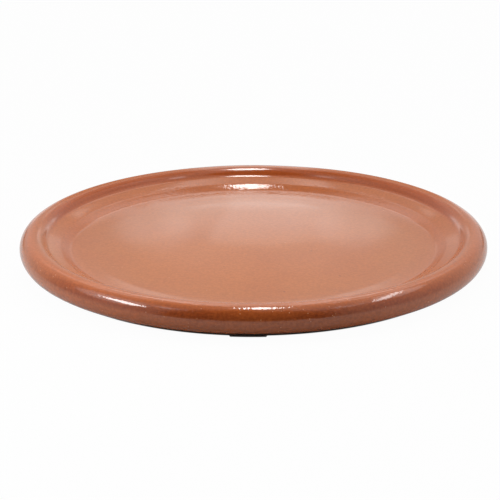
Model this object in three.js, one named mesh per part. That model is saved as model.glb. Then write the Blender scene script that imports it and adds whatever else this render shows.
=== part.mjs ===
// Glazed clay griddle (comal), turned about the Z axis. Millimetres and degrees.
// The flat foot stands on z = 0, and the origin is the centre of the foot.

import * as THREE from 'three';

// The rolled rim
const overallDiameter = 305; // across the glazed rim
const rollDiameter = 17.2; // thickness of the round roll of clay
const rollRise = 5.3; // crest of the roll above the shelf beside it

// The well, from the roll inwards
const shelfWidth = 8.8; // gentle slope next to the roll
const shelfAngle = 21.8;
const slopeWidth = 6.4; // steeper slope below the shelf
const slopeAngle = 28;
const slopeHollow = 5; // how much steeper the slope is at its top than at its foot, in degrees
const dishWidth = 14; // outer ring of the cooking floor, which turns up a little
const dishAngle = 4.5;
const floorThickness = 7.6; // clay under the glaze

// The underside
const undersideWidth = 16.7; // sloping ring between the roll and the flat foot
const neckThickness = 8.6; // clay between the shelf and the underside, beside the roll

// Rounded corners
const rollFillet = 7; // between the shelf and the roll
const shelfRounding = 12; // where the shelf turns down into the slope
const slopeRounding = 45; // hollow of the slope itself
const floorFillet = 8; // where the slope runs out into the floor
const dishRounding = 230; // where the floor begins to turn up
const grooveFillet = 3; // under the roll
const footRounding = 4; // outer edge of the foot

// The glaze
const glazeThickness = 0.4;
const glazeLineAngle = 25; // how far past the lowest point of the roll the glaze runs

// Smoothness of the turned surfaces
const turnSteps = 72;
const arcStep = 15; // longest step along a rounded corner
const samePoint = 0.001; // points closer than this are one

// Angles of the surface normals in the section, from the outward direction
const outwards = 0;
const upwards = 90;
const downwards = -90;

// Unit vector in the section plane, from its angle above the outward direction.
function direction(angle) {
  const radians = THREE.MathUtils.degToRad(angle);
  return new THREE.Vector2(Math.cos(radians), Math.sin(radians));
}

function rise(width, angle) {
  return width * Math.tan(THREE.MathUtils.degToRad(angle));
}

// An arc of the section runs from one surface normal to another.
// Its radius is positive where the clay bulges and negative where it is hollow.
function arc(centre, radius, fromNormal, toNormal) {
  return { centre, radius, fromNormal, toNormal };
}

// Rounds the corner where a surface with one normal meets a surface with another.
function cornerArc(corner, radius, fromNormal, toNormal) {
  const halfTurn = THREE.MathUtils.degToRad((toNormal - fromNormal) / 2);
  const middle = direction((fromNormal + toNormal) / 2);
  const centre = corner.clone().addScaledVector(middle, -radius / Math.cos(halfTurn));
  return arc(centre, radius, fromNormal, toNormal);
}

// Hollow fillet between a straight surface and the roll, on the roll's inner side.
// It touches both, so its centre lies one fillet radius outside each of them.
function filletCentre(surfacePoint, surfaceNormal, roll, radius) {
  const normal = direction(surfaceNormal);
  const along = new THREE.Vector2(-normal.y, normal.x);
  const inwards = along.x < 0 ? along : along.negate();
  const start = surfacePoint.clone().addScaledVector(normal, radius);
  const toStart = start.clone().sub(roll.centre);
  const slant = toStart.dot(inwards);
  const reach = roll.radius + radius;
  const distance = -slant + Math.sqrt(slant * slant - toStart.lengthSq() + reach * reach);
  return start.addScaledVector(inwards, distance);
}

function normalTowards(from, to) {
  return THREE.MathUtils.radToDeg(Math.atan2(to.y - from.y, to.x - from.x));
}

// The section of the clay, as arcs from the cooking floor over the roll to the foot.
function claySection() {
  const rollRadius = rollDiameter / 2;
  const rollInnerEdge = overallDiameter / 2 - glazeThickness - rollDiameter;

  const upperSlopeAngle = slopeAngle + slopeHollow / 2;
  const lowerSlopeAngle = slopeAngle - slopeHollow / 2;

  const shelfCornerRadius = rollInnerEdge - shelfWidth;
  const slopeCornerRadius = shelfCornerRadius - slopeWidth;
  const dishCorner = new THREE.Vector2(slopeCornerRadius - dishWidth, floorThickness);
  const slopeCorner = new THREE.Vector2(
    slopeCornerRadius,
    dishCorner.y + rise(dishWidth, dishAngle),
  );
  const slopeMiddle = new THREE.Vector2(
    (slopeCornerRadius + shelfCornerRadius) / 2,
    slopeCorner.y + rise(slopeWidth / 2, lowerSlopeAngle),
  );
  const shelfCorner = new THREE.Vector2(
    shelfCornerRadius,
    slopeMiddle.y + rise(slopeWidth / 2, upperSlopeAngle),
  );
  const shelfEnd = new THREE.Vector2(rollInnerEdge, shelfCorner.y + rise(shelfWidth, shelfAngle));
  const roll = {
    centre: new THREE.Vector2(rollInnerEdge + rollRadius, shelfEnd.y + rollRise - rollRadius),
    radius: rollRadius,
  };

  const footCorner = new THREE.Vector2(rollInnerEdge - undersideWidth, 0);
  const neckPoint = new THREE.Vector2(rollInnerEdge, shelfEnd.y - neckThickness);
  const undersideNormal = downwards + normalTowards(footCorner, neckPoint);

  const dishNormal = upwards + dishAngle;
  const shelfNormal = upwards + shelfAngle;
  const upperSlopeNormal = upwards + upperSlopeAngle;
  const lowerSlopeNormal = upwards + lowerSlopeAngle;
  const upperFillet = filletCentre(shelfEnd, shelfNormal, roll, rollFillet);
  const groove = filletCentre(neckPoint, undersideNormal, roll, grooveFillet);
  const rollStart = normalTowards(roll.centre, upperFillet);
  const rollEnd = normalTowards(roll.centre, groove);
  const glazeLine = downwards - glazeLineAngle;

  return {
    glazed: [
      cornerArc(dishCorner, -dishRounding, upwards, dishNormal),
      cornerArc(slopeCorner, -floorFillet, dishNormal, lowerSlopeNormal),
      cornerArc(slopeMiddle, -slopeRounding, lowerSlopeNormal, upperSlopeNormal),
      cornerArc(shelfCorner, shelfRounding, upperSlopeNormal, shelfNormal),
      arc(upperFillet, -rollFillet, shelfNormal, rollStart),
      arc(roll.centre, roll.radius, rollStart, upwards),
      arc(roll.centre, roll.radius, upwards, outwards),
      arc(roll.centre, roll.radius, outwards, downwards),
      arc(roll.centre, roll.radius, downwards, glazeLine),
    ],
    bare: [
      arc(roll.centre, roll.radius, glazeLine, rollEnd),
      arc(groove, -grooveFillet, rollEnd, undersideNormal),
      cornerArc(footCorner, footRounding, undersideNormal, downwards),
    ],
  };
}

// Points along an arc, on a surface that lies the given cover outside the clay.
function arcPoints({ centre, radius, fromNormal, toNormal }, cover) {
  const steps = Math.ceil(Math.abs(toNormal - fromNormal) / arcStep);
  const points = [];
  for (let step = 0; step <= steps; step++) {
    const normal = THREE.MathUtils.lerp(fromNormal, toNormal, step / steps);
    points.push(centre.clone().addScaledVector(direction(normal), radius + cover));
  }
  return points;
}

// Joins arcs into one outline, in which two arcs that meet share a point.
function joinedPoints(arcs, cover, firstPoint) {
  const points = [firstPoint];
  for (const piece of arcs) {
    for (const point of arcPoints(piece, cover)) {
      if (point.distanceTo(points.at(-1)) > samePoint) points.push(point);
    }
  }
  return points;
}

// The glazed surface from the axis to the glaze line.
function glazedPoints(section, cover) {
  const floorCentre = new THREE.Vector2(0, floorThickness + cover);
  return joinedPoints(section.glazed, cover, floorCentre);
}

// Turns a section about the Z axis. Its faces point out if the section runs anticlockwise.
function turned(points) {
  const geometry = new THREE.LatheGeometry(points, turnSteps);
  return geometry.rotateX(Math.PI / 2);
}

// Turns every face round, for a section that runs clockwise.
function facesReversed(geometry) {
  const corners = geometry.index.array;
  for (let face = 0; face < corners.length; face += 3) {
    const first = corners[face];
    corners[face] = corners[face + 1];
    corners[face + 1] = first;
  }
  return geometry;
}

// The glazed surface, then the bare one from the glaze line to the centre of the foot.
function clayBody(section) {
  const glazed = glazedPoints(section, 0);
  const glazeLine = glazed.pop();
  const bare = joinedPoints(section.bare, 0, glazeLine);
  const outline = [...glazed, ...bare, new THREE.Vector2(0, 0)];
  const material = new THREE.MeshStandardMaterial({ color: 0xb9774f, roughness: 0.85, metalness: 0 });
  const mesh = new THREE.Mesh(turned(outline.reverse()), material);
  mesh.name = 'clay_body';
  return mesh;
}

// The coat lies face to face with the clay and thins to nothing at the glaze line.
// Both sections run inwards over the shared surface, so that both split it into the same faces.
function glazeCoat(section) {
  const outer = glazedPoints(section, glazeThickness).slice(0, -1);
  const inner = glazedPoints(section, 0).reverse();
  const geometry = facesReversed(turned([...outer, ...inner]));
  const material = new THREE.MeshStandardMaterial({ color: 0xb4673f, roughness: 0.12, metalness: 0 });
  const mesh = new THREE.Mesh(geometry, material);
  mesh.name = 'glaze_coat';
  return mesh;
}

const section = claySection();
const griddle = new THREE.Group();
griddle.add(clayBody(section), glazeCoat(section));

export default griddle;
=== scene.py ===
import math

import bpy
from mathutils import Euler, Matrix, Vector, noise


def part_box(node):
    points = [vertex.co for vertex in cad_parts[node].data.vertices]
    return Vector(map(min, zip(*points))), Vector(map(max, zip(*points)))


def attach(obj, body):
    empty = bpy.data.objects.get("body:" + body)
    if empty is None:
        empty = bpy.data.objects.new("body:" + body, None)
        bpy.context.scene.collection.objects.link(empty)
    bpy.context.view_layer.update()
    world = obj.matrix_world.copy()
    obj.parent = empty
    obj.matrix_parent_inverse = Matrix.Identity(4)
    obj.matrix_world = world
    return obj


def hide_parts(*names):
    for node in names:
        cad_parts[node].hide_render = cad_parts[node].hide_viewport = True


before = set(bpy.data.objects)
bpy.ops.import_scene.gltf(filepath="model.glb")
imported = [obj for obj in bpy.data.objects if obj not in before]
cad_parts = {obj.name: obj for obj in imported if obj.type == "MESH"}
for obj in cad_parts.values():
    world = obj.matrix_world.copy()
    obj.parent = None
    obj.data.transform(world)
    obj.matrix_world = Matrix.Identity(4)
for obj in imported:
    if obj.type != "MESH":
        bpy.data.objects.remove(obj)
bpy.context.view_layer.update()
print("frame loaded:", len(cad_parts), "nodes")

mm = 0.001
clayLow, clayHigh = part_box("clay_body")
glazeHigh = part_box("glaze_coat")[1]
outerRadius = glazeHigh.x  # over the glaze, at the widest point of the rim
rimTop = glazeHigh.z
glazeThickness = outerRadius - clayHigh.x
samePoint = 0.002 * mm  # points closer than this are one

# the griddle's section, from the cooking floor over the rolled rim to the foot, with angles in degrees
griddle = {
    "rollDiameter": 17.2 * mm,
    "rollRise": 5.3 * mm,  # crest of the roll above the shelf beside it
    "shelfWidth": 8.8 * mm,
    "shelfAngle": 21.8,
    "slopeWidth": 6.4 * mm,
    "slopeAngle": 28,
    "slopeHollow": 5,  # how much steeper the slope is at its top than at its foot
    "dishWidth": 14 * mm,  # ring where the floor turns up gently
    "dishAngle": 4.5,
    "undersideWidth": 16.7 * mm,
    "neckThickness": 8.6 * mm,
    "rollFillet": 7 * mm,
    "slopeRounding": 45 * mm,
    "shelfRounding": 12 * mm,
    "floorFillet": 8 * mm,
    "dishRounding": 230 * mm,
    "grooveFillet": 3 * mm,
    "footRounding": 4 * mm,
    "glazeLineAngle": 25,  # past the lowest point of the roll
    "aroundSteps": 480,
    "arcStep": 4,  # degrees of surface turn between two rings
    "ringSpacing": 3 * mm,  # on the straight stretches
    "wobble": 0.16 * mm,  # how far hand and kiln leave the form from true
    "wobbleInset": 0.7,  # most of that lies inside the true form
    "wobbleFade": 6 * mm,  # it dies out from this height down, so that the foot stays flat
    "liftLength": 55 * mm,  # size of the swells up and down, and where in the noise they are taken from
    "liftPlace": (3.1, 7.7, 0.4),
    "leanLength": 68.75 * mm,  # the same for those in and out
    "leanPlace": (11.3, 2.9, 5.2),
}


def direction(angle):
    radians = math.radians(angle)
    return Vector((math.cos(radians), math.sin(radians)))


def rise(width, angle):
    return width * math.tan(math.radians(angle))


def angleOf(start, end):
    return math.degrees(math.atan2(end.y - start.y, end.x - start.x))


# an arc is its centre, its radius (negative where the surface is hollow) and its first and last normal
def cornerArc(corner, radius, fromNormal, toNormal):
    halfTurn = math.radians((toNormal - fromNormal) / 2)
    middle = direction((fromNormal + toNormal) / 2)
    return corner - middle * radius / math.cos(halfTurn), radius, fromNormal, toNormal


# centre of the hollow fillet between a straight surface and the roll
def filletCentre(surfacePoint, surfaceNormal, rollCentre, rollRadius, radius):
    normal = direction(surfaceNormal)
    along = Vector((-normal.y, normal.x))
    inwards = along if along.x < 0 else -along
    start = surfacePoint + normal * radius
    toStart = start - rollCentre
    slant = toStart.dot(inwards)
    reach = rollRadius + radius
    distance = -slant + math.sqrt(slant * slant - toStart.length_squared + reach * reach)
    return start + inwards * distance


def griddleSection(g):
    up, out, down = 90, 0, -90
    rollRadius = g["rollDiameter"] / 2
    innerEdge = outerRadius - glazeThickness - g["rollDiameter"]
    shelfEnd = Vector((innerEdge, rimTop - glazeThickness - g["rollRise"]))
    shelfCorner = shelfEnd - Vector((g["shelfWidth"], rise(g["shelfWidth"], g["shelfAngle"])))
    halfSlope = g["slopeWidth"] / 2
    upperAngle = g["slopeAngle"] + g["slopeHollow"] / 2
    lowerAngle = g["slopeAngle"] - g["slopeHollow"] / 2
    slopeMiddle = shelfCorner - Vector((halfSlope, rise(halfSlope, upperAngle)))
    slopeEnd = slopeMiddle - Vector((halfSlope, rise(halfSlope, lowerAngle)))
    dishEnd = slopeEnd - Vector((g["dishWidth"], rise(g["dishWidth"], g["dishAngle"])))
    rollCentre = Vector((innerEdge + rollRadius, shelfEnd.y + g["rollRise"] - rollRadius))
    footCorner = Vector((innerEdge - g["undersideWidth"], clayLow.z))
    neck = Vector((innerEdge, shelfEnd.y - g["neckThickness"]))
    dishNormal = up + g["dishAngle"]
    shelfNormal = up + g["shelfAngle"]
    undersideNormal = down + angleOf(footCorner, neck)
    upperFillet = filletCentre(shelfEnd, shelfNormal, rollCentre, rollRadius, g["rollFillet"])
    groove = filletCentre(neck, undersideNormal, rollCentre, rollRadius, g["grooveFillet"])
    rollStart = angleOf(rollCentre, upperFillet)
    rollEnd = angleOf(rollCentre, groove)
    glazeLine = down - g["glazeLineAngle"]
    glazed = [
        cornerArc(dishEnd, -g["dishRounding"], up, dishNormal),
        cornerArc(slopeEnd, -g["floorFillet"], dishNormal, up + lowerAngle),
        cornerArc(slopeMiddle, -g["slopeRounding"], up + lowerAngle, up + upperAngle),
        cornerArc(shelfCorner, g["shelfRounding"], up + upperAngle, shelfNormal),
        (upperFillet, -g["rollFillet"], shelfNormal, rollStart),
        (rollCentre, rollRadius, rollStart, up),
        (rollCentre, rollRadius, up, out),
        (rollCentre, rollRadius, out, down),
        (rollCentre, rollRadius, down, glazeLine),
    ]
    bare = [
        (rollCentre, rollRadius, glazeLine, rollEnd),
        (groove, -g["grooveFillet"], rollEnd, undersideNormal),
        cornerArc(footCorner, g["footRounding"], undersideNormal, down),
    ]
    return glazed, bare, Vector((0, dishEnd.y))


# points of the section, on a surface that lies the given cover outside the clay
def ringPoints(arcs, cover, start, end=None):
    corners = [start]
    for centre, radius, fromNormal, toNormal in arcs:
        steps = max(1, math.ceil(abs(toNormal - fromNormal) / griddle["arcStep"]))
        for step in range(steps + 1):
            normal = fromNormal + (toNormal - fromNormal) * step / steps
            corners.append(centre + direction(normal) * (radius + cover))
    if end is not None:
        corners.append(end)
    points = corners[:1]
    for corner in corners[1:]:
        last = points[-1]
        stretch = corner - last
        count = math.ceil(stretch.length / griddle["ringSpacing"])
        if stretch.length > samePoint:
            points += [last + stretch * (i + 1) / count for i in range(count)]
    return points


# slow unevenness of a form turned and smoothed by hand
def wobbled(point):
    g = griddle
    lift = noise.noise(point / g["liftLength"] + Vector(g["liftPlace"])) - g["wobbleInset"]
    lean = noise.noise(point / g["leanLength"] + Vector(g["leanPlace"])) - g["wobbleInset"]
    outward = Vector((point.x, point.y, 0)).normalized()
    height = min(1, max(0, point.z / g["wobbleFade"]))
    return point + g["wobble"] * height * (Vector((0, 0, lift)) + outward * lean)


def addObject(name, data):
    newObject = bpy.data.objects.new(name, data)
    bpy.context.scene.collection.objects.link(newObject)
    return newObject


def turnedPiece(name, points):
    count = griddle["aroundSteps"]
    vertices, rings = [], []
    for point in points:
        onAxis = point.x < samePoint
        ring = []
        for step in range(1 if onAxis else count):
            turn = 2 * math.pi * step / count
            place = Vector((point.x * math.sin(turn), -point.x * math.cos(turn), point.y))
            ring.append(len(vertices))
            vertices.append(wobbled(place))
        rings.append(ring * count if onAxis else ring)
    faces = []
    for lower, upper in zip(rings, rings[1:]):
        for step in range(count):
            after = (step + 1) % count
            face = (lower[step], upper[step], upper[after], lower[after])
            faces.append(list(dict.fromkeys(face)))  # a triangle where it meets the axis
    mesh = bpy.data.meshes.new(name)
    mesh.from_pydata(vertices, [], faces)
    mesh.shade_smooth()
    mesh.validate()
    piece = addObject(name, mesh)
    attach(piece, "root")
    return piece


glazedArcs, bareArcs, floorCentre = griddleSection(griddle)
glazeTop = ringPoints(glazedArcs, glazeThickness, floorCentre + Vector((0, glazeThickness)))
glazeUnder = ringPoints(glazedArcs, 0, floorCentre)
clayOutline = ringPoints(glazedArcs + bareArcs, 0, floorCentre, Vector((0, clayLow.z)))
glazeCoat = turnedPiece("glaze_surface", glazeTop[:-1] + glazeUnder[::-1])  # both meet at the glaze line
clayBody = turnedPiece("clay_body_surface", clayOutline)
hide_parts("glaze_coat")
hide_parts("clay_body")
print("griddle turned:", len(glazeCoat.data.vertices), "and", len(clayBody.data.vertices), "vertices")


# short ways to add nodes to a tree; the measures are what its areas can be marked out by
class Nodes:
    def __init__(self, tree, coordinates):
        self.tree = tree
        self.place = self.add("ShaderNodeTexCoord").outputs[coordinates]
        split = self.add("ShaderNodeSeparateXYZ")
        self.link(self.place, split.inputs[0])
        self.x, self.y, self.z = split.outputs
        self.measures = {"x": self.x, "y": self.y, "z": self.z}

    def add(self, kind, **settings):
        node = self.tree.nodes.new(kind)
        for key, value in settings.items():
            setattr(node, key, value)
        return node

    def link(self, source, target):
        self.tree.links.new(source, target)

    def fill(self, node, values):
        for key, value in values.items():
            if isinstance(value, bpy.types.NodeSocket):
                self.link(value, node.inputs[key])
            else:
                node.inputs[key].default_value = value

    def math(self, operation, first, second=0.0, third=0.0):
        node = self.add("ShaderNodeMath", operation=operation)
        self.fill(node, {0: first, 1: second, 2: third})
        return node.outputs[0]

    def distance(self, first, second):
        squares = self.math("MULTIPLY", first, first)
        squares = self.math("MULTIPLY_ADD", second, second, squares)
        return self.math("SQRT", squares)

    def ramp(self, value, low, high, start=0.0, end=1.0):
        node = self.add("ShaderNodeMapRange", interpolation_type="SMOOTHSTEP")
        self.fill(node, {0: value, 1: low, 2: high, 3: start, 4: end})
        return node.outputs[0]

    # an area is a list of its edges: a measure, where the area starts, and where it is full
    def area(self, edges):
        share = 1.0
        for measure, start, full in edges:
            share = self.math("MULTIPLY", self.ramp(self.measures[measure], start, full), share)
        return share

    # spread is the part of the noise's range that is stretched out to the two levels
    def noise(self, size, detail=2.0, roughness=0.5, spread=None, levels=(0.0, 1.0)):
        node = self.add("ShaderNodeTexNoise")
        self.fill(node, {"Vector": self.place, "Scale": 1 / size})
        self.fill(node, {"Detail": detail, "Roughness": roughness})
        return self.ramp(node.outputs[0], *spread, *levels) if spread else node.outputs[0]

    # stops are pairs of a place and a colour
    def coloursAlong(self, place, stops, end):
        node = self.add("ShaderNodeValToRGB")
        self.fill(node, {0: self.math("DIVIDE", place, end)})
        elements = node.color_ramp.elements
        while len(elements) < len(stops):
            elements.new(0.5)
        for element, (stop, colour) in zip(elements, stops):
            element.position = stop / end
            element.color = (*colour, 1)
        return node.outputs[0]

    def levelsAlong(self, place, stops, end):
        return self.coloursAlong(place, [(stop, (level, level, level)) for stop, level in stops], end)

    def tint(self, colour, amount):
        node = self.add("ShaderNodeVectorMath", operation="SCALE")
        self.fill(node, {0: colour, "Scale": amount})
        return node.outputs[0]

    def mix(self, factor, first, second):
        node = self.add("ShaderNodeMix", data_type="RGBA")
        self.fill(node, {"Factor": factor})
        for slot, value in ((6, first), (7, second)):  # the node's two colour sockets
            if isinstance(value, bpy.types.NodeSocket):
                self.link(value, node.inputs[slot])
            else:
                node.inputs[slot].default_value = (*value, 1)
        return node.outputs[2]

    def bump(self, height):
        node = self.add("ShaderNodeBump")
        self.fill(node, {"Height": height, "Distance": 1.0, "Strength": 1.0})
        return node.outputs[0]


class Shader(Nodes):
    def __init__(self, name):
        self.material = bpy.data.materials.new(name)
        self.material.use_nodes = True
        super().__init__(self.material.node_tree, "Object")
        self.bsdf = self.tree.nodes["Principled BSDF"]
        self.measures["aside"] = self.math("ABSOLUTE", self.x)
        self.measures["radius"] = self.distance(self.x, self.y)

    def show(self, shader):
        self.link(shader, self.tree.nodes["Material Output"].inputs["Surface"])


# on the glaze, "along" runs from the axis to the crest of the rim and on down its outside
rimOutside = (144.5 * mm, 147.5 * mm)
nearWell = [("along", 112 * mm, 117 * mm), ("along", 141.5 * mm, 138.5 * mm), ("y", 20 * mm, -30 * mm)]

glaze = {
    # colour of the clay under the glaze, along the section, with painted shade in it: each ring's colour
    # was set to the brightness that ring shows, so the rim's outside from 147 mm on is darkened by painted
    # shade (most at 150 mm), and the slope and the roll's inner side (122 and 136 mm) a little
    "colours": [
        (0 * mm, (0.515, 0.146, 0.027)),
        (60 * mm, (0.495, 0.140, 0.026)),
        (100 * mm, (0.458, 0.133, 0.026)),
        (117 * mm, (0.450, 0.124, 0.025)),
        (122 * mm, (0.455, 0.112, 0.022)),
        (131 * mm, (0.460, 0.124, 0.025)),
        (136 * mm, (0.455, 0.112, 0.022)),
        (142 * mm, (0.440, 0.118, 0.024)),
        (144.5 * mm, (0.440, 0.108, 0.021)),
        (147 * mm, (0.312, 0.058, 0.010)),
        (150 * mm, (0.240, 0.041, 0.008)),
        (153 * mm, (0.358, 0.086, 0.023)),
        (156 * mm, (0.367, 0.088, 0.023)),
        (160 * mm, (0.41, 0.097, 0.024)),
    ],
    "frontPaintedShade": 0.88,  # painted shade: the rim's outer side is darker on the near side, which faces away from the lights
    "front": [("along", *rimOutside), ("y", -0.85 * outerRadius, -0.95 * outerRadius)],
    # colours laid over that one; each paints light or shade
    "paintedLightLayers": [
        # painted light: a paler colour on the near left of the well stands in for the brighter light that
        # the glaze mirrors there
        {
            "colour": (0.56, 0.20, 0.07),
            "strength": 0.6,
            "area": nearWell + [("x", -20 * mm, -70 * mm), ("along", 122 * mm, 136 * mm)],
        },
        # painted light: the rim's outer side is made lighter at the left and right, where more light falls
        # on it than at the front
        {
            "colour": (0.40, 0.125, 0.035),
            "strength": 0.6,
            "area": [("aside", 100 * mm, 145 * mm), ("along", 144.5 * mm, 147 * mm)],
        },
        # painted shade: the roll's inner side on the far half, which faces the viewer and lies in shade
        # under the overhead light, is darker
        {
            "colour": (0.385, 0.075, 0.014),
            "strength": 1.0,
            "area": [
                ("along", 133 * mm, 135.8 * mm), ("along", 143.5 * mm, 138.5 * mm),
                ("y", 0, 0.3 * outerRadius),
            ],
        },
    ],
    # broad clouds and fine mottling of a deeper colour
    "deepColour": (0.40, 0.095, 0.018),
    "clouds": {"size": 45 * mm, "detail": 4.0, "spread": (0.35, 0.8), "levels": (0, 0.35)},
    "mottling": {"size": 1.6 * mm, "detail": 3.0, "spread": (0.3, 0.75), "levels": (0, 0.26)},
    "tintGrain": {"size": 1.8 * mm, "roughness": 0.6, "spread": (0.3, 0.7), "levels": (-1, 1)},
    "grainShade": (0.08, 0.13),  # how much that grain changes the brightness inside and outside the rim
    # pale specks in large and in fine cells: share of the cells that hold one, and the specks' strength
    # inside the rim and on it
    "speckColour": (0.80, 0.45, 0.25),
    "specks": [
        {"cell": 5 * mm, "share": 0.10, "strength": (0.6, 0.6)},
        {"cell": 2.4 * mm, "share": 0.22, "strength": (0.18, 0.54)},
    ],
    "speckRim": (140 * mm, 146 * mm),
    "speckRadius": (0.1 * mm, 0.42 * mm),  # solid up to the first, gone at the second
    "speckScatter": 7.3,  # makes the cells' random greys spread evenly
    "speckFade": 0.01,  # share of the cells that hold a fainter one
    # dark iron spots: x, y and radius
    "spotColour": (0.17, 0.045, 0.02),
    "spotStrength": 0.7,
    "spotCore": 0.3,  # solid share of the radius
    "spots": [
        (37.8 * mm, -11.6 * mm, 0.9 * mm),
        (-18.8 * mm, -42.2 * mm, 0.7 * mm),
        (18.7 * mm, -87.8 * mm, 1.0 * mm),
        (53.9 * mm, -59.8 * mm, 1.1 * mm),
    ],
    "clayRoughness": 0.5,
    "coatRoughness": (0.07, 0.22),  # in general, and on the near side of the well
    "coatIor": 1.6,
    "crestGloss": 0.42,  # the glaze is thinner on the far half of the rim's crest
    "farCrest": [
        ("along", 137 * mm, 139 * mm), ("y", 0.15 * outerRadius, 0.55 * outerRadius),
        ("aside", 25 * mm, 60 * mm),
    ],
    # relief of the glaze
    "peel": {"size": 9 * mm, "roughness": 0.45},
    "peelDepth": 0.035 * mm,
    "grain": {"size": 0.9 * mm},
    "grainDepth": 0.005 * mm,
    "beads": {"size": 1.7 * mm, "detail": 1.0},
    "beadDepth": (0.010 * mm, 0.10 * mm),  # in general, and on the far slope and the near side of the rim
    "farSlope": [("along", 108 * mm, 114 * mm), ("along", 130 * mm, 125 * mm), ("y", 50 * mm, 100 * mm)],
    "nearRim": [("along", 140 * mm, 144 * mm), ("y", -70 * mm, -110 * mm)],
    "patches": {"size": 28 * mm, "spread": (0.38, 0.62), "levels": (0.5, 1.5)},  # rougher and smoother
    "nearWellRelief": 0.3,  # share of the relief that is left there
}


def glazeColour(s, g):
    along = s.measures["along"]
    body = s.coloursAlong(along, g["colours"], g["colours"][-1][0])
    # painted shade: the rim's outside is darkened on its near side
    body = s.mix(s.area(g["front"]), body, s.tint(body, g["frontPaintedShade"]))
    # painted light and shade laid over the clay's colour
    for overlay in g["paintedLightLayers"]:
        share = s.math("MULTIPLY", s.area(overlay["area"]), overlay["strength"])
        body = s.mix(share, body, overlay["colour"])
    body = s.mix(s.noise(**g["clouds"]), body, g["deepColour"])
    body = s.mix(s.noise(**g["mottling"]), body, g["deepColour"])
    shade = s.ramp(along, *rimOutside, *g["grainShade"])
    return s.tint(body, s.math("MULTIPLY_ADD", s.noise(**g["tintGrain"]), shade, 1.0))


def paleSpecks(s, g, body):
    core, edge = g["speckRadius"]
    for speck in g["specks"]:
        cells = s.add("ShaderNodeTexVoronoi")
        s.fill(cells, {"Vector": s.place, "Scale": 1 / speck["cell"]})
        draw = s.math("FRACT", s.math("MULTIPLY", cells.outputs["Color"], g["speckScatter"]))
        chosen = s.ramp(draw, 1 - speck["share"], 1 - speck["share"] + g["speckFade"])
        dot = s.ramp(cells.outputs["Distance"], edge / speck["cell"], core / speck["cell"])
        strength = s.ramp(s.measures["along"], *g["speckRim"], *speck["strength"])
        share = s.math("MULTIPLY", s.math("MULTIPLY", dot, chosen), strength)
        body = s.mix(share, body, g["speckColour"])
    return body


def ironSpots(s, g, body):
    for x, y, radius in g["spots"]:
        distance = s.distance(s.math("SUBTRACT", s.x, x), s.math("SUBTRACT", s.y, y))
        share = s.ramp(distance, radius, g["spotCore"] * radius, 0, g["spotStrength"])
        body = s.mix(share, body, g["spotColour"])
    return body


def glazeRelief(s, g, near):
    height = s.math("MULTIPLY", s.noise(**g["grain"]), g["grainDepth"])
    height = s.math("MULTIPLY_ADD", s.noise(**g["peel"]), g["peelDepth"], height)
    beaded = s.math("MAXIMUM", s.area(g["farSlope"]), s.area(g["nearRim"]))
    beadDepth = s.math("MULTIPLY", s.noise(**g["patches"]), s.ramp(beaded, 0, 1, *g["beadDepth"]))
    height = s.math("MULTIPLY_ADD", s.noise(**g["beads"]), beadDepth, height)
    return s.math("MULTIPLY", height, s.ramp(near, 0, 1, 1, g["nearWellRelief"]))


def glazeMaterial(g):
    s = Shader("clear glaze on clay")
    crest = outerRadius - griddle["rollDiameter"] / 2
    radius = s.measures["radius"]
    belowTop = s.math("MULTIPLY", s.math("SUBTRACT", rimTop, s.z), s.math("GREATER_THAN", radius, crest))
    s.measures["along"] = s.math("ADD", s.math("MINIMUM", radius, crest), belowTop)
    near = s.area(nearWell)
    relief = s.bump(glazeRelief(s, g, near))
    s.fill(s.bsdf, {
        "Base Color": ironSpots(s, g, paleSpecks(s, g, glazeColour(s, g))),
        "Roughness": g["clayRoughness"],
        "Specular IOR Level": 0.0,
        "Coat Weight": s.ramp(s.area(g["farCrest"]), 0, 1, 1, g["crestGloss"]),
        "Coat Roughness": s.ramp(near, 0, 1, *g["coatRoughness"]),
        "Coat IOR": g["coatIor"],
        "Coat Normal": relief,
        "Normal": relief,
    })
    return s.material


bareClay = {
    "colour": (0.50, 0.235, 0.12),
    "paleColour": (0.62, 0.35, 0.20),
    "patches": {"size": 25 * mm, "detail": 5.0, "roughness": 0.6, "spread": (0.3, 0.7)},
    "roughness": 0.85,
    "grit": {"size": 0.7 * mm, "detail": 3.0},
    "gritDepth": 0.12 * mm,
}


def clayMaterial(c):
    s = Shader("bare fired clay")
    s.fill(s.bsdf, {
        "Base Color": s.mix(s.noise(**c["patches"]), c["colour"], c["paleColour"]),
        "Roughness": c["roughness"],
        "Normal": s.bump(s.math("MULTIPLY", s.noise(**c["grit"]), c["gritDepth"])),
    })
    return s.material


glazeCoat.data.materials.append(glazeMaterial(glaze))
clayBody.data.materials.append(clayMaterial(bareClay))
print("materials made")

table = {
    "size": 12.0,  # metres
    "opening": 116.5 * mm,  # under the flat foot, which lies in the same plane
    "colour": (0.56, 0.56, 0.56),
    "roughness": 0.9,
    "white": (139.1 * mm, 140 * mm),  # outside this the table turns white for the camera
    "whiteShare": 0.97,
    "frontShadow": 2.0 * mm,  # the shadow reaches this much further out right under the near side
    "frontShadowMiddle": -3.2 * mm,
    "frontShadowWidth": 21.5 * mm,
    "frontShadowEdge": 0.4 * mm,
    "sideShine": 0.55,  # how much of that white the glaze mirrors at the left and right
    "shineFrom": (60 * mm, 160 * mm),
}


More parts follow.
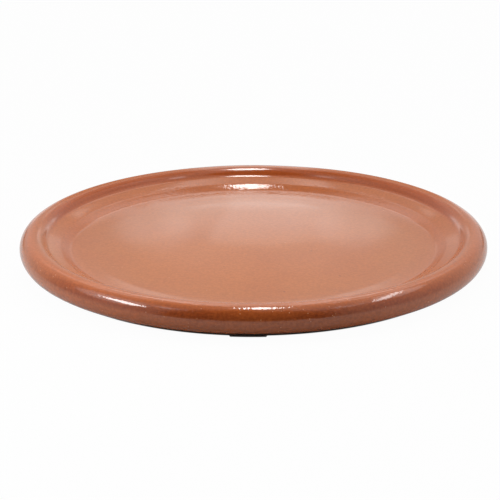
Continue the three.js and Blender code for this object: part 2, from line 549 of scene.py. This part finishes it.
def tableMaterial(t):
    s = Shader("white table")
    fromMiddle = s.math("ABSOLUTE", s.math("SUBTRACT", s.x, t["frontShadowMiddle"]))
    halfWidth, edge = t["frontShadowWidth"] / 2, t["frontShadowEdge"]
    reach = s.ramp(fromMiddle, halfWidth + edge, halfWidth - edge, 0, t["frontShadow"])
    white = s.ramp(s.math("SUBTRACT", s.measures["radius"], reach), *t["white"], 0, t["whiteShare"])
    rays = s.add("ShaderNodeLightPath").outputs
    shine = s.ramp(s.measures["aside"], *t["shineFrom"], 0, t["sideShine"])
    mirrored = s.math("MULTIPLY", rays["Is Glossy Ray"], shine)
    direct = s.math("MAXIMUM", rays["Is Camera Ray"], rays["Is Transmission Ray"])
    seen = s.math("MULTIPLY", white, s.math("MAXIMUM", direct, mirrored))
    s.fill(s.bsdf, {
        "Base Color": (*t["colour"], 1),
        "Roughness": t["roughness"],
        "Specular IOR Level": 0.0,
    })
    glow = s.add("ShaderNodeEmission")
    top = s.add("ShaderNodeMixShader")
    s.fill(top, {0: seen, 1: s.bsdf.outputs[0], 2: glow.outputs[0]})
    # clear from below, so that the underside can be looked at
    fromBelow = s.add("ShaderNodeNewGeometry").outputs["Backfacing"]
    clear = s.add("ShaderNodeBsdfTransparent")
    sheet = s.add("ShaderNodeMixShader")
    s.fill(sheet, {0: fromBelow, 1: top.outputs[0], 2: clear.outputs[0]})
    s.show(sheet.outputs[0])
    return s.material


def tableTop(t):
    steps = griddle["aroundSteps"]
    corners = []
    for edge in (t["opening"], t["size"] / 2):
        for step in range(steps):
            turn = 2 * math.pi * step / steps
            corners.append((edge * math.cos(turn), edge * math.sin(turn), 0))
    faces = [(i, i + steps, (i + 1) % steps + steps, (i + 1) % steps) for i in range(steps)]
    mesh = bpy.data.meshes.new("table_top")
    mesh.from_pydata(corners, [], faces)
    mesh.materials.append(tableMaterial(t))
    addObject("table_top", mesh)


tableTop(table)
print("table set")

# azimuths and elevations in degrees: 0 is beyond the griddle, 90 to its right and 180 behind the camera;
# a pair of them is where a change begins and where it ends
studio = {
    "leftToRight": (-10, 10),
    "walls": {
        "levels": [
            (-180, 0.05), (-152, 0.07), (-139, 0.10), (-134, 0.50), (-125, 0.66), (-110, 0.82), (-90, 0.72),
            (-80, 0.58), (-70, 0.56), (-60, 0.66), (-50, 0.72), (-35, 0.72), (-22, 0.73), (-8, 0.64),
            (0, 0.60), (4, 0.67), (8, 0.70), (22, 0.73), (35, 0.72), (50, 0.76), (65, 0.74), (90, 0.70),
            (110, 0.66), (125, 0.52), (138, 0.40), (146, 0.07), (180, 0.05),
        ],
        "low": (0.8, 0.4),  # share of that where the far wall meets the table: straight ahead, beside that
        "lowBeside": (3, 6),
        "lowSides": (28, 40),
        "lowHeights": (2, 9),
        "tops": (1.15, 1.5),  # the side walls are lighter higher up, to the left and to the right
        "topSides": (40, 60),
        "topHeights": (40, 60),
    },
    # three soft boxes that hang beyond the griddle
    "boxes": {
        "levels": [
            (-60, 0.0), (-32, 0.10), (-27, 1.0), (-21, 1.1), (-18, 0.2), (-15.5, 0.15), (-12.5, 2.1),
            (-8, 1.7), (-5, 1.05), (0, 0.9), (5, 1.05), (8, 1.6), (12.5, 2.0), (15.5, 0.15), (18, 0.2),
            (21, 1.1), (27, 0.95), (32, 0.10), (60, 0.0),
        ],
        "strength": 0.9,
        "outer": (13, 18),  # from the middle one to the outer ones
        "middleFoot": (29, 35),
        "outerFoot": (22, 46),
        "tops": (0.65, 0.2, 2.1),  # how they change higher up: the middle, the left and the right one
        "middleTop": (52, 60),
        "outerTop": (52, 62),
        "spread": 0.84,  # the outer ones look wider higher up
        "spreadSides": (15, 19),
        "spreadHeights": (36, 50),
    },
    # low light straight beyond the griddle
    "strip": {"level": 0.5, "foot": (20.5, 25), "top": (34, 30), "sides": (7, 3)},
    # it starts lower beyond the griddle than behind the camera
    "ceiling": {
        "levels": (0.2, 0.5, 0.75),  # behind the camera, to the left and to the right
        "left": (-140, -115),
        "right": (-12, 20),
        "behind": (138, 146),
        "farEdge": (60, 66),
        "behindEdge": (66, 86),
    },
    # soft glows beside the lamps: azimuth, elevation, radius, brightness
    "glows": [(9, 79, 9, 1.5), (119, 55, 5, 2.0), (-123, 54, 6, 1.4)],
}


def skyward(azimuth, elevation):
    turn, lift = math.radians(azimuth), math.radians(elevation)
    return Vector((math.sin(turn) * math.cos(lift), math.cos(turn) * math.cos(lift), math.sin(lift)))


def levelsAround(s, stops, azimuth):
    halfTurn = 180
    turned = [(stop + halfTurn, level) for stop, level in stops]
    return s.levelsAlong(s.math("ADD", azimuth, halfTurn), turned, 2 * halfTurn)


def wallLight(s, w):
    sideways = s.measures["sideways"]
    low = s.ramp(sideways, *w["lowBeside"], *w["low"])
    lowest = s.ramp(sideways, *w["lowSides"], low, 1)
    shade = s.ramp(s.measures["elevation"], *w["lowHeights"], lowest, 1)
    return s.math("MULTIPLY", levelsAround(s, w["levels"], s.measures["azimuth"]), shade)


def boxLight(s, b, leftToRight):
    azimuth, elevation, sideways = (s.measures[name] for name in ("azimuth", "elevation", "sideways"))
    spread = s.ramp(sideways, *b["spreadSides"], 1, b["spread"])
    spread = s.math("MULTIPLY", azimuth, s.ramp(elevation, *b["spreadHeights"], 1, spread))
    start, full = (s.ramp(sideways, *b["outer"], *ends) for ends in zip(b["middleFoot"], b["outerFoot"]))
    foot = s.ramp(elevation, start, full, 0, b["strength"])
    light = s.math("MULTIPLY", levelsAround(s, b["levels"], spread), foot)
    outer = s.ramp(sideways, *b["outer"])
    middleLevel, leftLevel, rightLevel = b["tops"]
    middleTop = s.ramp(elevation, *b["middleTop"], 1, s.ramp(outer, 0, 1, middleLevel, 1))
    outerLevel = s.ramp(azimuth, *leftToRight, leftLevel, rightLevel)
    outerTop = s.ramp(elevation, *b["outerTop"], 1, s.ramp(outer, 0, 1, 1, outerLevel))
    return s.math("MULTIPLY", s.math("MULTIPLY", light, middleTop), outerTop)


def stripLight(s, strip):
    edges = [("elevation", *strip["foot"]), ("elevation", *strip["top"]), ("sideways", *strip["sides"])]
    return s.math("MULTIPLY", s.area(edges), strip["level"])


# the room's light with the ceiling over it
def underCeiling(s, c, room):
    azimuth, elevation, sideways = (s.measures[name] for name in ("azimuth", "elevation", "sideways"))
    behindLevel, leftLevel, rightLevel = c["levels"]
    level = s.ramp(azimuth, *c["left"], behindLevel, leftLevel)
    level = s.ramp(azimuth, *c["right"], level, rightLevel)
    start, full = (s.ramp(sideways, *c["behind"], *ends) for ends in zip(c["farEdge"], c["behindEdge"]))
    share = s.ramp(elevation, start, full)
    return s.math("MULTIPLY_ADD", s.math("SUBTRACT", level, room), share, room)


def glowLight(s, azimuth, elevation, radius, brightness):
    node = s.add("ShaderNodeVectorMath", operation="DOT_PRODUCT")
    s.fill(node, {0: s.place, 1: skyward(azimuth, elevation)})
    return s.ramp(node.outputs["Value"], math.cos(math.radians(radius)), 1, 0, brightness)


def studioWorld(w):
    world = bpy.data.worlds.new("studio")
    bpy.context.scene.world = world
    world.use_nodes = True
    s = Nodes(world.node_tree, "Generated")
    azimuth = s.math("MULTIPLY", s.math("ARCTAN2", s.x, s.y), math.degrees(1))
    elevation = s.math("MULTIPLY", s.math("ARCSINE", s.z), math.degrees(1))
    sideways = s.math("ABSOLUTE", azimuth)
    s.measures.update({"azimuth": azimuth, "elevation": elevation, "sideways": sideways})
    room = s.math("ADD", wallLight(s, w["walls"]), boxLight(s, w["boxes"], w["leftToRight"]))
    room = s.math("ADD", room, stripLight(s, w["strip"]))
    sideTop = s.ramp(azimuth, *w["leftToRight"], *w["walls"]["tops"])
    wallTop = s.ramp(sideways, *w["walls"]["topSides"], 1, sideTop)
    room = s.math("MULTIPLY", room, s.ramp(elevation, *w["walls"]["topHeights"], 1, wallTop))
    level = underCeiling(s, w["ceiling"], room)
    for glow in w["glows"]:
        level = s.math("ADD", level, glowLight(s, *glow))
    rays = s.add("ShaderNodeLightPath").outputs
    white = s.ramp(rays["Is Camera Ray"], 0, 1, level, 1.0)
    s.fill(s.tree.nodes["Background"], {"Color": (1, 1, 1, 1), "Strength": white})


studioWorld(studio)

# metres and degrees; azimuth and elevation are as seen from the spot on the griddle that the lamp is
# aimed at, and roll turns a lamp about its beam
lamps = {
    "overhead": {
        "aimedAt": (0, 0), "azimuth": 8, "elevation": 80, "distance": 10,
        "width": 1.4, "height": 3.7, "roll": 12, "brightness": 15,
    },
    "left": {
        "aimedAt": (-0.077, -0.129), "azimuth": -107, "elevation": 38, "distance": 0.4,
        "width": 0.18, "height": 0.09, "roll": 0, "brightness": 14,
    },
    "leftHalo": {
        "aimedAt": (-0.077, -0.129), "azimuth": -96, "elevation": 38, "distance": 0.4,
        "width": 0.30, "height": 0.26, "roll": 0, "brightness": 1.2,
    },
    "right": {
        "aimedAt": (0.080, -0.126), "azimuth": 77, "elevation": 53.5, "distance": 0.4,
        "width": 0.28, "height": 0.042, "roll": 5, "brightness": 6,
    },
    "rightHalo": {
        "aimedAt": (0.080, -0.126), "azimuth": 68, "elevation": 50, "distance": 0.4,
        "width": 0.26, "height": 0.15, "roll": 5, "brightness": 1.0,
    },
    # broad fill from both sides that leaves no reflection
    "leftFill": {
        "aimedAt": (0, 0), "azimuth": -105, "elevation": 18, "distance": 3,
        "width": 1.5, "height": 1.5, "roll": 0, "brightness": 0.8, "matt": True,
    },
    "rightFill": {
        "aimedAt": (0, 0), "azimuth": 100, "elevation": 22, "distance": 3,
        "width": 1.5, "height": 1.5, "roll": 0, "brightness": 2.5, "matt": True,
    },
}


def softLamp(name, settings):
    width, height = settings["width"], settings["height"]
    light = bpy.data.lights.new(name, "AREA")
    light.shape = "ELLIPSE"
    light.size, light.size_y = width, height
    ellipse = math.pi * width * height / 4
    light.energy = settings["brightness"] * math.pi * ellipse
    beam = skyward(settings["azimuth"], settings["elevation"])
    lamp = addObject(name, light)
    lamp.location = Vector((*settings["aimedAt"], rimTop)) + settings["distance"] * beam
    turn = (-beam).to_track_quat("-Z", "Y").to_matrix()
    roll = Euler((0, 0, math.radians(settings["roll"]))).to_matrix()
    lamp.rotation_euler = (turn @ roll).to_euler()
    lamp.visible_camera = False
    lamp.visible_glossy = not settings.get("matt")


for lampName, lampSettings in lamps.items():
    softLamp(lampName, lampSettings)


# an upright sheet beyond the griddle that only the glaze mirrors
def uprightSheet(name, left, right, low, high, y):
    corners = [(left, y, low), (right, y, low), (right, y, high), (left, y, high)]
    mesh = bpy.data.meshes.new(name)
    mesh.from_pydata(corners, [], [(0, 1, 2, 3)])
    sheet = addObject(name, mesh)
    sheet.visible_camera = False
    sheet.visible_shadow = False
    sheet.visible_diffuse = False
    return sheet


def glowingMaterial(s, level):
    glow = s.add("ShaderNodeEmission")
    s.fill(glow, {"Strength": level})
    clear = s.add("ShaderNodeBsdfTransparent")
    both = s.add("ShaderNodeAddShader")
    s.fill(both, {0: glow.outputs[0], 1: clear.outputs[0]})
    s.show(both.outputs[0])
    return s.material


# white card close behind the griddle; it is brightest low down and a little to the right
card = {
    "distance": 200 * mm,
    "width": 360 * mm,
    "height": 120 * mm,
    "sides": [("aside", 85 * mm, 45 * mm)],
    "bottom": [("z", 36 * mm, 40 * mm)],
    # brightness by height
    "levels": [
        (36 * mm, 0.0), (39 * mm, 0.95), (43 * mm, 0.84), (46.5 * mm, 0.56), (50 * mm, 0.48),
        (56 * mm, 0.45), (61 * mm, 0.35), (68 * mm, 0.24), (76 * mm, 0.14), (90 * mm, 0.10),
        (100 * mm, 0.03), (120 * mm, 0.0),
    ],
    "patchLevel": 0.19,
    "patch": [("x", 70 * mm, 30 * mm), ("z", 77.3 * mm, 70.7 * mm)],
    "patchHeights": (30 * mm, 74 * mm),
    "patchLeft": (-12 * mm, -35 * mm),  # its slanted left edge, at those two heights
    "patchLeftBlur": 5 * mm,
}


def whiteCard(c):
    s = Shader("white card")
    base = s.math("MULTIPLY", s.levelsAlong(s.z, c["levels"], c["height"]), s.area(c["sides"]))
    leftEdge = s.ramp(s.z, *c["patchHeights"], *c["patchLeft"])
    left = s.ramp(s.math("SUBTRACT", s.x, leftEdge), -c["patchLeftBlur"], c["patchLeftBlur"])
    patch = s.math("MULTIPLY", s.area(c["patch"]), left)
    level = s.math("MULTIPLY_ADD", patch, c["patchLevel"], base)
    level = s.math("MULTIPLY", level, s.area(c["bottom"]))
    half = c["width"] / 2
    sheet = uprightSheet("white_card", -half, half, 0, c["height"], c["distance"])
    sheet.data.materials.append(glowingMaterial(s, level))


whiteCard(card)

# round soft cards further back, in pairs: one at the left and one at the right
roundCards = {
    # mirrored in the floor at the left and right
    "{side}_card": {
        "distance": 400 * mm, "across": 91 * mm, "up": 127 * mm,
        "halfWidth": 43 * mm, "halfHeight": 29 * mm, "level": 0.38,
    },
    # mirrored in the rim's outer side at the left and right
    "low_{side}_card": {
        "distance": 400 * mm, "across": 220 * mm, "up": 45 * mm,
        "halfWidth": 100 * mm, "halfHeight": 42 * mm, "level": 0.7,
    },
}


def roundCard(name, c, across):
    s = Shader(name)
    wide, tall = c["halfWidth"], c["halfHeight"]
    fromMiddle = s.math("DIVIDE", s.math("SUBTRACT", s.x, across), wide)
    fromLevel = s.math("DIVIDE", s.math("SUBTRACT", s.z, c["up"]), tall)
    off = s.distance(fromMiddle, fromLevel)
    level = s.ramp(s.math("MULTIPLY", off, off), 1, 0, 0, c["level"])
    sheet = uprightSheet(name, across - wide, across + wide, c["up"] - tall, c["up"] + tall, c["distance"])
    sheet.data.materials.append(glowingMaterial(s, level))


for cardName, cardSettings in roundCards.items():
    roundCard(cardName.format(side="left"), cardSettings, -cardSettings["across"])
    roundCard(cardName.format(side="right"), cardSettings, cardSettings["across"])

picture = {
    "side": 500,  # pixels
    "elevation": 19.03,
    "distanceInRadii": 7,
    "sensorWidth": 36,
    "focalPixels": 1618.9,
    "tilt": 0.19,  # degrees by which the camera leans, so that the right side stands a little higher
    "centre": (253.46, 251.69),  # pixel where the griddle's middle lies
    "centreHeight": 3.36 * mm,
}


def photoCamera(p):
    data = bpy.data.cameras.new("camera")
    data.sensor_width = p["sensorWidth"]
    data.lens = data.sensor_width * p["focalPixels"] / p["side"]
    camera = addObject("camera", data)
    lift = math.radians(p["elevation"])
    distance = p["distanceInRadii"] * outerRadius
    middle = Vector((0, 0, p["centreHeight"]))
    camera.location = middle + distance * Vector((0, -math.cos(lift), math.sin(lift)))
    pixel = distance / p["focalPixels"]  # size of a pixel at the griddle
    right = Vector((1, 0, 0))
    up = Vector((0, math.sin(lift), math.cos(lift)))
    centreX, centreY = p["centre"]
    aim = middle + pixel * (right * (p["side"] / 2 - centreX) + up * (centreY - p["side"] / 2))
    turn = (aim - camera.location).to_track_quat("-Z", "Y").to_matrix()
    tilt = Euler((0, 0, math.radians(-p["tilt"]))).to_matrix()
    camera.rotation_euler = (turn @ tilt).to_euler()
    bpy.context.scene.camera = camera


photoCamera(picture)
bpy.context.scene.view_settings.view_transform = "Standard"
print("studio and camera set")
